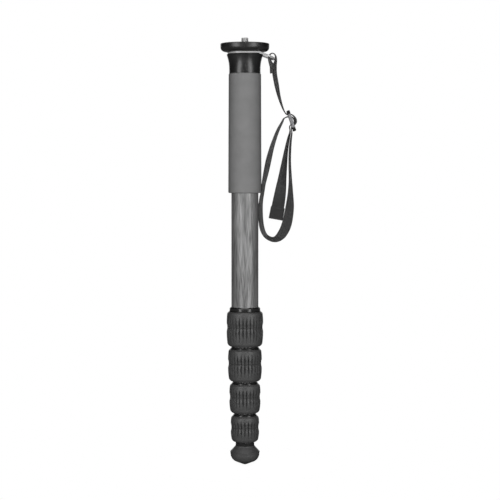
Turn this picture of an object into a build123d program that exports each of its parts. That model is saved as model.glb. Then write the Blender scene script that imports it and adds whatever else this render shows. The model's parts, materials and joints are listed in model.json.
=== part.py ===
from build123d import *
import math
import os

# A five-section camera monopod, folded up and standing on the Z axis, with the tip of its foot at
# the origin and its wrist strap on the +X side. Sizes are in millimetres, angles in degrees.

# Tubes: each one slides inside the tube above it
tube_diameter = 36.0
tube_wall = 1.2
slide_gap = 0.6
section_count = 5
bare_tube_length = 152.1
nest_gap = 3.0
nest_step = 2.0

# Fits
glue_gap = 0.05
running_gap = 0.05
turning_gap = 0.1
stop_gap = 0.3
overrun = 5.0

# Guide shims: two half shells round the top of each sliding tube
shim_length = 45.0
shim_offset = 5.0
shim_split = 2.0

# Hand grip
grip_length = 158.4
grip_bottom_diameter = 44.2
grip_top_diameter = 43.0
grip_edge = 1.2

# Top collar
collar_height = 25.2
collar_diameter = 41.6
collar_straight = 5.5
collar_rim_diameter = 48.4
collar_rim_edge = 0.5
neck_diameter = 40.0
neck_height = 3.4
socket_depth = 17.5
spigot_depth = 12.0
spigot_wall = 4.2
collar_hollow_height = 10.0

# Camera plate, its rubber pad and its screws
plate_diameter = 64.8
plate_thickness = 10.8
plate_corner = 6.0
plate_edge = 0.6
pad_diameter = 60.8
pad_bore = 16.6
pad_thickness = 1.3
pad_recess = 1.0
plate_screw_count = 3
plate_screw_circle = 28.0
plate_screw_diameter = 4.0
plate_screw_head = 7.6
plate_screw_length = 16.0
plate_screw_drive = 2.9
plate_screw_drive_depth = 1.5
plate_screw_spare = 2.0

# Camera stud, a 3/8 inch screw
stud_diameter = 9.525
stud_height = 7.3
stud_reach = 25.0
stud_relief = 0.9
stud_edge = 0.8
stud_slot_width = 1.4
stud_slot_depth = 1.8
stud_flange_diameter = 16.0
stud_flange = 2.0

# Twist locks, from the top one down
lock_heights = [46.6, 43.2, 39.2, 35.2]
lock_rib_counts = [30, 28, 26, 24]
lock_gap = 0.8
lock_reveals = [6.2, 2.8, 2.8, 2.8]
ferrule_edges = [1.5, 0.8, 0.8, 0.8]

# Rubber sleeve of a lock
rubber_reach = 6.4
rubber_wall = 3.0
rubber_toe = 1.0
rubber_heel_height = 5.5
rubber_heel_draw = 0.9
rubber_top_draw = 0.8
rubber_top_chamfer = 2.0
waist_share = 0.555
waist_depth = 0.85
waist_half_height = 5.5
rib_groove_depth = 1.75
rib_groove_width = 3.6
rib_groove_low_margin = 6.0
rib_groove_high_margin = 4.5

# Nut of a lock
nut_floor = 0.4
nut_toe = 0.2
nut_mouth_gap = 0.6
nut_lip = 1.2
nut_lip_width = 1.2
seal_lip = 0.8
seal_height = 2.0
seal_width = 1.75
cone_foot = 0.8
cone_height = 5.0
cone_start = 1.1
cone_spread = 1.4

# Ferrule of a lock, with its plain thread diameter
thread_depth = 1.6
ferrule_start = 17.0
ferrule_shoulder = 3.0
ferrule_ring = 2.4
ferrule_ring_gap = 0.4
ferrule_guide_gap = 0.25

# Collet of a lock
collet_foot_gap = 0.4
collet_slit = 1.2
collet_slit_count = 8
collet_slit_share = 0.7
collet_tab_width = 4.0
collet_tab_height = 2.0

# Foot
foot_height = 25.6
foot_tip_radius = 2.2
foot_cone_radius = 11.8
foot_cone_height = 3.9
foot_shoulder_radius = 19.3
foot_shoulder_height = 14.6
foot_brow_radius = 19.8
foot_brow_height = 17.4
foot_throat_radius = 13.7
foot_throat_height = 23.9
foot_top_radius = 12.6
ankle_radius = 12.45
ankle_height = 4.2
ankle_edge = 0.5
ankle_socket = 2.8
ankle_spigot = 30.0
foot_stud_length = 12.0
foot_stud_spare = 3.0
foot_stud_flange_diameter = 18.0
foot_stud_flange = 2.5
foot_stud_cover = 10.0

# Strap ring: a bent wire loop that turns round the neck of the collar
wire_diameter = 2.6
ring_radius = 21.7
ring_bend_start = 18.5
ring_reach = 38.6
ring_drop = 7.7
ring_bend_radius = 6.0
ring_corner_radius = 12.0

# Strap slider
slider_x = 61.6
slider_z = 459.6
slider_tilt = 18.9
slider_length = 28.5
slider_thickness = 4.0
slider_rail = 3.2
slider_side_gap = 0.3
slider_end_bar = 3.4
slider_centre_bar = 4.2
slider_corner = 2.4
slider_slot_corner = 0.8
slider_edge = 0.8

# Wrist strap
webbing_width = 17.0
webbing_thickness = 1.4
bend_share = 0.45

# Radii and heights that follow from the sizes
tube_radii = [tube_diameter / 2 - k * (tube_wall + slide_gap) for k in range(section_count)]
bore_radii = [radius - tube_wall for radius in tube_radii]
lock_count = section_count - 1
ankle_top = foot_height + ankle_height

lock_bottoms = [0.0] * lock_count
ferrule_tops = [0.0] * lock_count
level = ankle_top
for k in reversed(range(lock_count)):
    lock_bottoms[k] = level + lock_gap
    ferrule_tops[k] = lock_bottoms[k] + lock_heights[k] + lock_reveals[k]
    level = ferrule_tops[k]

grip_bottom = ferrule_tops[0] + bare_tube_length
collar_bottom = grip_bottom + grip_length
rim_top = collar_bottom + collar_height
plate_bottom = rim_top + neck_height
plate_top = plate_bottom + plate_thickness
recess_floor = plate_top - pad_recess
pad_top = recess_floor + pad_thickness
spigot_bottom = collar_bottom - spigot_depth
ring_height = rim_top + neck_height / 2

tube_bottoms = [bottom + ferrule_start + ferrule_shoulder for bottom in lock_bottoms]
tube_bottoms.append(ankle_top - ankle_socket)
tube_tops = [collar_bottom + socket_depth]
for k in range(1, section_count):
    tube_tops.append(spigot_bottom - nest_gap - (k - 1) * nest_step)

# A section slides out until its shims are just above the shoulder of the ferrule below them
travels = []
for k in range(lock_count):
    shim_bottom = tube_tops[k + 1] - shim_offset - shim_length
    travels.append(shim_bottom - tube_bottoms[k] - stop_gap)
print("travel of each section:", [round(travel, 2) for travel in travels])
print("height folded:", round(pad_top + stud_height, 2))
print("height drawn out:", round(pad_top + stud_height + sum(travels), 2))

os.makedirs("parts", exist_ok=True)


# Tubes
for k in range(section_count):
    with BuildPart() as tube:
        with BuildSketch(Plane.XY.offset(tube_bottoms[k])):
            Circle(tube_radii[k])
            Circle(bore_radii[k], mode=Mode.SUBTRACT)
        extrude(amount=tube_tops[k] - tube_bottoms[k])
    tube.part.label = f"tube_{k + 1}"
    export_step(tube.part, f"parts/tube_{k + 1}.step")

# Guide shims
for k in range(1, section_count):
    shim_inner = tube_radii[k] + glue_gap
    shim_outer = bore_radii[k - 1] - running_gap
    with BuildPart() as guide_shims:
        with BuildSketch(Plane.XY.offset(tube_tops[k] - shim_offset - shim_length)):
            Circle(shim_outer)
            Circle(shim_inner, mode=Mode.SUBTRACT)
            Rectangle(shim_split, 2 * (shim_outer + overrun), mode=Mode.SUBTRACT)
        extrude(amount=shim_length)
    guide_shims.part.label = f"guide_shims_{k + 1}"
    export_step(guide_shims.part, f"parts/guide_shims_{k + 1}.step")

# Ferrules: glued over the lower end of each outer tube, with the nut's thread below their ring
for k in range(lock_count):
    shoulder_radius = tube_radii[k + 1] + ferrule_guide_gap
    barrel_radius = tube_radii[k] + thread_depth
    ring_outer = tube_radii[k] + ferrule_ring
    bore = tube_radii[k] + glue_gap
    bottom = lock_bottoms[k] + ferrule_start
    ring_bottom = lock_bottoms[k] + lock_heights[k] + nut_lip + ferrule_ring_gap
    top = ferrule_tops[k]
    with BuildPart() as ferrule:
        with BuildSketch(Plane.XZ):
            Polygon(
                (shoulder_radius, bottom),
                (barrel_radius, bottom),
                (barrel_radius, ring_bottom),
                (ring_outer, ring_bottom),
                (ring_outer, top - ferrule_edges[k]),
                (ring_outer - ferrule_edges[k], top),
                (bore, top),
                (bore, tube_bottoms[k]),
                (shoulder_radius, tube_bottoms[k]),
                align=None,
            )
        revolve(axis=Axis.Z)
        # Notches for the two tabs of the collet
        with BuildSketch(Plane.XY.offset(bottom)):
            Rectangle(2 * (barrel_radius + overrun), collet_tab_width + 2 * turning_gap)
        extrude(amount=collet_tab_height + turning_gap, mode=Mode.SUBTRACT)
    ferrule.part.label = f"ferrule_{k + 1}"
    export_step(ferrule.part, f"parts/ferrule_{k + 1}.step")

# Nuts: thread bore above, the cone that squeezes the collet below, then the seal's groove
for k in range(lock_count):
    inner_tube = tube_radii[k + 1]
    bottom = lock_bottoms[k] + nut_floor
    top = lock_bottoms[k] + lock_heights[k]
    toe_radius = tube_radii[k] + nut_toe
    nut_radius = tube_radii[k] + rubber_reach - rubber_wall
    mouth_radius = inner_tube + nut_mouth_gap
    groove_radius = inner_tube + running_gap + seal_width + glue_gap
    seal_bottom = bottom + seal_lip
    seal_top = seal_bottom + seal_height
    cone_bottom = seal_top + cone_foot
    cone_top = cone_bottom + cone_height
    cone_radius = inner_tube + cone_start
    thread_radius = tube_radii[k] + thread_depth + turning_gap
    thread_bottom = lock_bottoms[k] + ferrule_start - stop_gap
    with BuildPart() as lock_nut:
        with BuildSketch(Plane.XZ):
            Polygon(
                (mouth_radius, bottom),
                (toe_radius, bottom),
                (nut_radius, bottom + nut_radius - toe_radius),
                (nut_radius, top),
                (thread_radius + nut_lip_width, top + nut_lip),
                (thread_radius, top + nut_lip),
                (thread_radius, thread_bottom),
                (cone_radius + cone_spread, thread_bottom),
                (cone_radius + cone_spread, cone_top),
                (cone_radius, cone_bottom),
                (mouth_radius, cone_bottom),
                (mouth_radius, seal_top),
                (groove_radius, seal_top),
                (groove_radius, seal_bottom),
                (mouth_radius, seal_bottom),
                align=None,
            )
        revolve(axis=Axis.Z)
    lock_nut.part.label = f"lock_nut_{k + 1}"
    export_step(lock_nut.part, f"parts/lock_nut_{k + 1}.step")

    with BuildPart() as dust_seal:
        with BuildSketch(Plane.XY.offset(seal_bottom)):
            Circle(inner_tube + running_gap + seal_width)
            Circle(inner_tube + running_gap, mode=Mode.SUBTRACT)
        extrude(amount=seal_height)
    dust_seal.part.label = f"dust_seal_{k + 1}"
    export_step(dust_seal.part, f"parts/dust_seal_{k + 1}.step")

    # Collet: a split bush with a tapered foot, between the nut's cone and the ferrule
    collet_inner = inner_tube + running_gap
    collet_outer = cone_radius + cone_spread - turning_gap
    collet_bottom = cone_bottom + collet_foot_gap
    collet_top = lock_bottoms[k] + ferrule_start - turning_gap
    collet_foot = cone_radius + cone_spread * collet_foot_gap / cone_height - turning_gap
    slit_reach = collet_outer - inner_tube
    with BuildPart() as collet:
        with BuildSketch(Plane.XZ):
            Polygon(
                (collet_inner, collet_bottom),
                (collet_foot, collet_bottom),
                (collet_outer, cone_top),
                (collet_outer, collet_top),
                (collet_inner, collet_top),
                align=None,
            )
        revolve(axis=Axis.Z)
        # Two tabs that stand in the ferrule's notches
        with BuildSketch(Plane.XY.offset(collet_top)):
            Circle(collet_outer)
            Circle(inner_tube + ferrule_guide_gap, mode=Mode.SUBTRACT)
            Rectangle(2 * (collet_outer + overrun), collet_tab_width, mode=Mode.INTERSECT)
        extrude(amount=collet_tab_height)
        # Slits that let the foot close on the tube
        with BuildSketch(Plane.XY.offset(collet_bottom)):
            with PolarLocations(collet_outer, collet_slit_count):
                Rectangle(2 * slit_reach, collet_slit)
        extrude(amount=collet_slit_share * (collet_top - collet_bottom), mode=Mode.SUBTRACT)
        # The full split of the bush
        with BuildSketch(Plane.XY.offset(collet_bottom)):
            with Locations((0, collet_outer)):
                Rectangle(collet_slit, 2 * slit_reach)
        extrude(amount=collet_top - collet_bottom, mode=Mode.SUBTRACT)
    collet.part.label = f"collet_{k + 1}"
    export_step(collet.part, f"parts/collet_{k + 1}.step")


def rib_groove(outer_radius, waist, end):
    """A V groove that is deepest at the waist and has run out of the rubber at its end."""
    floor = Vector(outer_radius - rib_groove_depth, 0, waist)
    run = Vector(outer_radius, 0, end) - floor
    across = (0, math.copysign(1, waist - end), 0)
    with BuildPart() as groove:
        with BuildSketch(Plane(origin=floor, x_dir=across, z_dir=run)):
            with BuildLine():
                Polyline(
                    (0, 0),
                    (rib_groove_width, 2 * rib_groove_depth),
                    (-rib_groove_width, 2 * rib_groove_depth),
                    close=True,
                )
            make_face()
        extrude(amount=run.length + overrun)
    return groove.part


# Rubber sleeves of the locks: a waisted barrel with two rows of grooves between its ribs
for k in range(lock_count):
    outer_radius = tube_radii[k] + rubber_reach
    nut_radius = outer_radius - rubber_wall
    toe_radius = tube_radii[k] + nut_toe
    bottom = lock_bottoms[k]
    top = bottom + lock_heights[k]
    waist = bottom + waist_share * lock_heights[k]
    toe = (toe_radius + rubber_toe, bottom)
    heel = (outer_radius - rubber_heel_draw, bottom + rubber_heel_height)
    low_crown = (outer_radius, waist - waist_half_height)
    high_crown = (outer_radius, waist + waist_half_height)
    shoulder = (outer_radius - rubber_top_draw, top - rubber_top_chamfer)
    low_groove = rib_groove(outer_radius, waist, bottom + rib_groove_low_margin)
    high_groove = rib_groove(outer_radius, waist, top - rib_groove_high_margin)
    with BuildPart() as nut_grip:
        with BuildSketch(Plane.XZ):
            with BuildLine():
                TangentArc(heel, toe, tangent=(0, -1))
                TangentArc(low_crown, heel, tangent=(0, -1))
                ThreePointArc(low_crown, (outer_radius - waist_depth, waist), high_crown)
                TangentArc(high_crown, shoulder, tangent=(0, 1))
                Polyline(
                    shoulder,
                    (shoulder[0] - rubber_top_chamfer, top),
                    (nut_radius, top),
                    (nut_radius, bottom + nut_floor + nut_radius - toe_radius),
                    (toe_radius, bottom + nut_floor),
                    (toe_radius, bottom),
                    toe,
                )
            make_face()
        revolve(axis=Axis.Z)
        with PolarLocations(0, lock_rib_counts[k]):
            add([low_groove, high_groove], mode=Mode.SUBTRACT)
    nut_grip.part.label = f"nut_grip_{k + 1}"
    export_step(nut_grip.part, f"parts/nut_grip_{k + 1}.step")

# Foam hand grip
with BuildPart() as foam_grip:
    with BuildSketch(Plane.XZ):
        with BuildLine():
            outline = Polyline(
                (tube_radii[0] + glue_gap, grip_bottom),
                (grip_bottom_diameter / 2, grip_bottom),
                (grip_top_diameter / 2, collar_bottom),
                (tube_radii[0] + glue_gap, collar_bottom),
                close=True,
            )
        face = make_face()
        outer_corners = face.vertices().sort_by(Axis.X)[-2:]
        fillet(outer_corners, radius=grip_edge)
    revolve(axis=Axis.Z)
foam_grip.part.label = "foam_grip"
export_step(foam_grip.part, "parts/foam_grip.step")

# Top collar: flares up to a rim, with a neck for the strap ring and a socket for the top tube
with BuildPart() as top_collar:
    skirt_top = (collar_diameter / 2, collar_bottom + collar_straight)
    rim_bottom = (collar_rim_diameter / 2, rim_top - collar_rim_edge)
    spigot_radius = bore_radii[0] - glue_gap
    hollow_radius = spigot_radius - spigot_wall
    stud_bore = stud_diameter / 2 + glue_gap
    flange_radius = stud_flange_diameter / 2 + glue_gap
    with BuildSketch(Plane.XZ):
        with BuildLine():
            TangentArc(skirt_top, rim_bottom, tangent=(0, 1))
            Polyline(
                rim_bottom,
                (collar_rim_diameter / 2 - collar_rim_edge, rim_top),
                (neck_diameter / 2, rim_top),
                (neck_diameter / 2, plate_bottom),
                (flange_radius, plate_bottom),
                (flange_radius, plate_bottom - stud_flange),
                (stud_bore, plate_bottom - stud_flange),
                (stud_bore, collar_bottom + collar_hollow_height),
                (hollow_radius, collar_bottom + collar_hollow_height),
                (hollow_radius, spigot_bottom),
                (spigot_radius, spigot_bottom),
                (spigot_radius, tube_tops[0]),
                (tube_radii[0] + glue_gap, tube_tops[0]),
                (tube_radii[0] + glue_gap, collar_bottom),
                (collar_diameter / 2, collar_bottom),
                skirt_top,
            )
        make_face()
    revolve(axis=Axis.Z)
    # Threaded holes for the plate's screws
    with Locations((0, 0, plate_bottom)):
        with PolarLocations(plate_screw_circle / 2, plate_screw_count):
            Hole(
                plate_screw_diameter / 2 + glue_gap,
                depth=plate_screw_length - (recess_floor - plate_bottom) + plate_screw_spare,
            )
top_collar.part.label = "top_collar"
export_step(top_collar.part, "parts/top_collar.step")

# Camera plate
with BuildPart() as camera_plate:
    with BuildSketch(Plane.XY.offset(plate_bottom)):
        Circle(plate_diameter / 2)
    extrude(amount=plate_thickness)
    rims = camera_plate.edges().filter_by(GeomType.CIRCLE).sort_by(Axis.Z)
    fillet(rims[0], radius=plate_corner)
    chamfer(rims[-1], length=plate_edge)
    # Recess for the rubber pad, round a boss that the stud comes through
    with BuildSketch(Plane.XY.offset(plate_top)):
        Circle(pad_diameter / 2 + glue_gap)
        Circle(pad_bore / 2 - glue_gap, mode=Mode.SUBTRACT)
    extrude(amount=-pad_recess, mode=Mode.SUBTRACT)
    with Locations((0, 0, plate_top)):
        Hole(stud_diameter / 2 + glue_gap)
    with Locations((0, 0, recess_floor)):
        with PolarLocations(plate_screw_circle / 2, plate_screw_count):
            CounterSinkHole(
                plate_screw_diameter / 2 + glue_gap,
                plate_screw_head / 2 + glue_gap,
                counter_sink_angle=90,
            )
camera_plate.part.label = "camera_plate"
export_step(camera_plate.part, "parts/camera_plate.step")

# Rubber pad of the plate
with BuildPart() as friction_pad:
    with BuildSketch(Plane.XY.offset(recess_floor)):
        Circle(pad_diameter / 2)
        Circle(pad_bore / 2, mode=Mode.SUBTRACT)
    extrude(amount=pad_thickness)
friction_pad.part.label = "friction_pad"
export_step(friction_pad.part, "parts/friction_pad.step")

# Countersunk screws that hold the plate to the collar
with BuildPart() as plate_screw:
    head_radius = plate_screw_head / 2
    shank_radius = plate_screw_diameter / 2
    with BuildSketch(Plane.XZ):
        Polygon(
            (0, recess_floor),
            (head_radius, recess_floor),
            (shank_radius, recess_floor - (head_radius - shank_radius)),
            (shank_radius, recess_floor - plate_screw_length),
            (0, recess_floor - plate_screw_length),
            align=None,
        )
    revolve(axis=Axis.Z)
    with BuildSketch(Plane.XY.offset(recess_floor)):
        RegularPolygon(plate_screw_drive / 2, side_count=6)
    extrude(amount=-plate_screw_drive_depth, mode=Mode.SUBTRACT)
with BuildPart() as plate_screws:
    with PolarLocations(plate_screw_circle / 2, plate_screw_count):
        add(plate_screw.part)
plate_screws.part.label = "plate_screws"
export_step(plate_screws.part, "parts/plate_screws.step")

# Camera stud, clamped by its flange between the plate and the collar, with a relief groove under its thread
with BuildPart() as camera_stud:
    stud_radius = stud_diameter / 2
    stud_top = pad_top + stud_height
    with BuildSketch(Plane.XZ):
        Polygon(
            (0, pad_top - stud_reach),
            (stud_radius - stud_edge, pad_top - stud_reach),
            (stud_radius, pad_top - stud_reach + stud_edge),
            (stud_radius, plate_bottom - stud_flange),
            (stud_flange_diameter / 2, plate_bottom - stud_flange),
            (stud_flange_diameter / 2, plate_bottom),
            (stud_radius, plate_bottom),
            (stud_radius, recess_floor),
            (stud_radius - stud_relief, recess_floor),
            (stud_radius - stud_relief, pad_top),
            (stud_radius, pad_top),
            (stud_radius, stud_top - stud_edge),
            (stud_radius - stud_edge, stud_top),
            (0, stud_top),
            align=None,
        )
    revolve(axis=Axis.Z)
    with BuildSketch(Plane.XY.offset(stud_top)):
        Rectangle(stud_diameter + overrun, stud_slot_width)
    extrude(amount=-stud_slot_depth, mode=Mode.SUBTRACT)
camera_stud.part.label = "camera_stud"
export_step(camera_stud.part, "parts/camera_stud.step")

# Foot ferrule: the ankle above the foot, glued into the end of the lowest tube
with BuildPart() as foot_ferrule:
    lowest = section_count - 1
    stud_bore = stud_diameter / 2 + glue_gap
    bore_top = foot_height + foot_stud_length + foot_stud_spare
    spigot_radius = bore_radii[lowest] - glue_gap
    with BuildSketch(Plane.XZ):
        Polygon(
            (stud_bore, foot_height),
            (ankle_radius, foot_height),
            (ankle_radius, ankle_top - ankle_edge),
            (ankle_radius - ankle_edge, ankle_top),
            (tube_radii[lowest] + glue_gap, ankle_top),
            (tube_radii[lowest] + glue_gap, tube_bottoms[lowest]),
            (spigot_radius, tube_bottoms[lowest]),
            (spigot_radius, ankle_top + ankle_spigot),
            (0, ankle_top + ankle_spigot),
            (0, bore_top),
            (stud_bore, bore_top),
            align=None,
        )
    revolve(axis=Axis.Z)
foot_ferrule.part.label = "foot_ferrule"
export_step(foot_ferrule.part, "parts/foot_ferrule.step")

# Foot stud: moulded into the rubber by its flange, screwed into the ankle
with BuildPart() as foot_stud:
    with BuildSketch(Plane.XZ):
        Polygon(
            (0, foot_stud_cover),
            (foot_stud_flange_diameter / 2, foot_stud_cover),
            (foot_stud_flange_diameter / 2, foot_stud_cover + foot_stud_flange),
            (stud_diameter / 2, foot_stud_cover + foot_stud_flange),
            (stud_diameter / 2, foot_height + foot_stud_length - stud_edge),
            (stud_diameter / 2 - stud_edge, foot_height + foot_stud_length),
            (0, foot_height + foot_stud_length),
            align=None,
        )
    revolve(axis=Axis.Z)
foot_stud.part.label = "foot_stud"
export_step(foot_stud.part, "parts/foot_stud.step")

# Rubber foot: a mushroom with a blunt point and an overhanging brow
with BuildPart() as rubber_foot:
    cone_edge = (foot_cone_radius, foot_cone_height)
    foot_shoulder = (foot_shoulder_radius, foot_shoulder_height)
    flange_radius = foot_stud_flange_diameter / 2 + glue_gap
    with BuildSketch(Plane.XZ):
        with BuildLine():
            Polyline((0, foot_stud_cover), (0, 0), (foot_tip_radius, 0), cone_edge)
            TangentArc(foot_shoulder, cone_edge, tangent=(0, -1))
            Polyline(
                foot_shoulder,
                (foot_brow_radius, foot_brow_height),
                (foot_throat_radius, foot_throat_height),
                (foot_top_radius, foot_height),
                (stud_bore, foot_height),
                (stud_bore, foot_stud_cover + foot_stud_flange),
                (flange_radius, foot_stud_cover + foot_stud_flange),
                (flange_radius, foot_stud_cover),
                (0, foot_stud_cover),
            )
        make_face()
    revolve(axis=Axis.Z)
rubber_foot.part.label = "rubber_foot"
export_step(rubber_foot.part, "parts/rubber_foot.step")

# Strap ring: half of the bent wire, mirrored
with BuildPart() as strap_ring:
    with BuildLine(Plane.XY.offset(ring_height)) as wire:
        CenterArc((0, 0), ring_radius, 180, -90)
        FilletPolyline(
            (0, ring_radius, 0),
            (ring_bend_start, ring_radius, 0),
            (ring_reach, ring_radius, -ring_drop),
            (ring_reach, 0, -ring_drop),
            radius=[ring_bend_radius, ring_corner_radius],
        )
    with BuildSketch(Plane(origin=(-ring_radius, 0, ring_height), z_dir=(0, 1, 0))):
        Circle(wire_diameter / 2)
    sweep()
    mirror(about=Plane.XZ)
strap_ring.part.label = "strap_ring"
export_step(strap_ring.part, "parts/strap_ring.step")

# Slider: a flat buckle with two slots, hanging on the strap
slider_plane = Plane(
    origin=(slider_x, 0, slider_z),
    x_dir=Vector(0, 0, -1).rotate(Axis.Y, -slider_tilt),
    z_dir=Vector(1, 0, 0).rotate(Axis.Y, -slider_tilt),
)
slot_length = (slider_length - 2 * slider_end_bar - slider_centre_bar) / 2
slot_width = webbing_width + 2 * slider_side_gap
slot_centre = (slider_centre_bar + slot_length) / 2
with BuildPart() as strap_slider:
    with BuildSketch(slider_plane):
        RectangleRounded(slider_length, slot_width + 2 * slider_rail, slider_corner)
    extrude(amount=slider_thickness / 2, both=True)
    through = Axis(slider_plane.origin, slider_plane.z_dir)
    fillet(strap_slider.edges().filter_by(through, reverse=True), radius=slider_edge)
    with BuildSketch(slider_plane):
        with Locations((-slot_centre, 0), (slot_centre, 0)):
            RectangleRounded(slot_length, slot_width, slider_slot_corner)
    extrude(amount=slider_thickness, both=True, mode=Mode.SUBTRACT)
strap_slider.part.label = "strap_slider"
export_step(strap_slider.part, "parts/strap_slider.step")


def at_slider(along, above):
    """A point of the route, given along the slider and above its middle plane."""
    place = slider_plane.origin + along * slider_plane.x_dir + above * slider_plane.z_dir
    return (place.X, place.Z)


# Route of the strap in the XZ plane, from the end stitched under the ring to the hemmed tail
strap_points = [
    # stitched end, up over the ring's bar and down again
    (36.9, 522.9),
    (36.6, 526.9),
    (36.4, 531.1),
    (33.9, 536.3),
    (31.8, 542.9),
    (33.0, 547.6),
    (36.3, 549.4),
    (39.9, 548.0),
    (41.5, 542.6),
    (40.0, 536.4),
    (38.2, 530.6),
    (38.6, 522.0),
    (41.6, 506.5),
    (44.6, 492.2),
    (49.2, 478.0),
    # through the slider, as the outer layer
    at_slider(-13.6, -4.6),
    at_slider(-9.0, -3.0),
    at_slider(-7.8, 3.0),
    at_slider(-3.2, 6.2),
    at_slider(2.2, 6.6),
    at_slider(5.9, 3.6),
    at_slider(6.2, -0.6),
    at_slider(9.2, -3.4),
    at_slider(14.6, -3.8),
    # down the outer side of the hand loop, round its bottom and up beside the tube
    (61.3, 436.5),
    (59.3, 421.5),
    (58.7, 404.0),
    (59.9, 380.0),
    (59.4, 353.0),
    (56.6, 333.0),
    (53.9, 319.5),
    (48.5, 308.9),
    (42.4, 302.7),
    (36.0, 300.4),
    (29.4, 303.2),
    (24.3, 309.2),
    (21.6, 319.5),
    (20.3, 332.0),
    (20.2, 344.5),
    (21.3, 355.5),
    (23.6, 365.5),
    (24.5, 376.0),
    (27.4, 391.0),
    (30.6, 406.7),
    (34.4, 422.5),
    (39.5, 438.2),
    (43.6, 448.6),
    (47.3, 455.2),
    # through the slider again, as the inner layer
    at_slider(-3.6, -10.5),
    at_slider(-5.9, -6.4),
    at_slider(-5.7, -2.2),
    at_slider(-4.0, 2.2),
    at_slider(-1.0, 3.9),
    at_slider(2.2, 4.0),
    at_slider(4.2, 1.3),
    at_slider(4.3, -2.4),
    at_slider(7.2, -5.2),
    at_slider(13.0, -5.6),
    # tail
    (58.4, 437.8),
    (54.6, 421.0),
    (52.3, 406.7),
    (48.6, 379.5),
    (46.5, 362.5),
    (43.2, 343.5),
    (41.8, 328.7),
]
bend_radii = []
for before, point, after in zip(strap_points, strap_points[1:], strap_points[2:]):
    run_in = Vector(point) - Vector(before)
    run_out = Vector(after) - Vector(point)
    half_turn = math.radians(run_in.get_angle(run_out)) / 2
    shorter = min(run_in.length, run_out.length)
    bend_radii.append(bend_share * shorter / math.tan(half_turn))
print("strap bend radii:", [round(radius, 1) for radius in bend_radii])

with BuildPart() as wrist_strap:
    with BuildLine(Plane.XZ) as route:
        FilletPolyline(*strap_points, radius=bend_radii)
    with BuildSketch(Plane(origin=route.line @ 0, x_dir=(0, 1, 0), z_dir=route.line % 0)):
        Rectangle(webbing_width, webbing_thickness)
    sweep()
wrist_strap.part.label = "wrist_strap"
export_step(wrist_strap.part, "parts/wrist_strap.step")
section_area = webbing_width * webbing_thickness
route_length = sum(edge.length for edge in route.edges())
print("strap length:", round(route_length, 1))
print("strap volume against section times length:", round(wrist_strap.part.volume, 1),
      round(section_area * route_length, 1))
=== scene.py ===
import json
import math

import bpy
from mathutils import Matrix, Vector

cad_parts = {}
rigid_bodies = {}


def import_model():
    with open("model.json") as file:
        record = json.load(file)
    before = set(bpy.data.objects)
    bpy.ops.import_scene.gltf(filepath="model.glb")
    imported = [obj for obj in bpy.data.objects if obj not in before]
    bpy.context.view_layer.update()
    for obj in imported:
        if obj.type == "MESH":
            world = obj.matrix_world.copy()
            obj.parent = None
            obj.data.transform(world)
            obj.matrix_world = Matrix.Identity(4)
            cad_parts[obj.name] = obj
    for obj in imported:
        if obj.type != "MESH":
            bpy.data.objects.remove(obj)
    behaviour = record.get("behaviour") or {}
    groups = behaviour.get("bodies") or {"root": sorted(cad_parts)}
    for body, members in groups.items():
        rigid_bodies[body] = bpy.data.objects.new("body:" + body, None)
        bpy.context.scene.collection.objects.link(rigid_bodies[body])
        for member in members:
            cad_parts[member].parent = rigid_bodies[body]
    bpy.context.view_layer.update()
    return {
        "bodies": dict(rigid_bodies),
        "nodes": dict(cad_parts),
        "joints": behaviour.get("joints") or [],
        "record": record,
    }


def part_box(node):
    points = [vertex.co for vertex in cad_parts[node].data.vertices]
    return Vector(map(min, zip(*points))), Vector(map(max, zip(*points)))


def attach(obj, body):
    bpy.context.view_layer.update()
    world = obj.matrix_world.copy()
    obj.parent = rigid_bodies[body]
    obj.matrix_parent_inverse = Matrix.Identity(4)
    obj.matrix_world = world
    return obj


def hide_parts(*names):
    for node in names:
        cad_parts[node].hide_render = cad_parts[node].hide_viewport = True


# The looks of a folded camera monopod, in metres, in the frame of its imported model: the Z axis
# runs up the tubes from the tip of the foot, and the wrist strap hangs on the +X side.

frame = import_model()
nodes = frame["nodes"]
MM = 0.001

# Camera: far off, a little above the middle of the monopod, and tilted down to face that middle
CAMERA_DISTANCE = 2.084
CAMERA_SIDE = 6.8 * MM
CAMERA_HEIGHT = 397 * MM
CAMERA_TILT = math.radians(2.998)
CAMERA_LENS = 112.62

# Light: two leaning strips beside the camera, soft fills before and behind, and a dim room
BACKDROP_WHITE = 1.0
ROOM_GLOW = 0.035
FLOOR_GLOW = 1.3
FLOOR_PAINT = 0.9
FLOOR_MIRRORED = 0.04
FLOOR_BOUNCE = 0.05
FLOOR_REACH = 12.0
# Distances from the axis between which the floor's shadow fades, and its white share there
SHADOW_FADE = (0.15, 1.2)
SHADOW_WHITE = (0.7, 1.0)
# Distances between which the floor turns clear to the eye
FLOOR_PATCH = (0.03, 0.13)
STRIP_DISTANCE = 1.5
STRIP_LOW = (30.0, 0.05)
STRIP_HIGH = (50.0, 1.0)
STRIP_WIDTH = 0.6
STRIP_POWER = 4.2
FILL_PLACE = (0.0, -2.4, 0.42)
FILL_SIZE = 0.9
FILL_POWER = 50.0
BACK_SHARE = 0.7
TOP_POWER = 3.0
TOP_SIZE = 1.0
TOP_PLACE = (0.0, -0.3, 1.9)
LIT_MIDDLE = 0.3

# The slider of the strap: its middle in millimetres and its lean
SLIDER_X, SLIDER_Z, SLIDER_TILT = 61.6, 459.6, math.radians(18.9)


# Small helpers

def new_material(name):
    """A material with one Principled shader, ready for more nodes."""
    material = bpy.data.materials.new(name)
    material.use_nodes = True
    tree = material.node_tree
    return material, tree, tree.nodes["Principled BSDF"]


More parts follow.
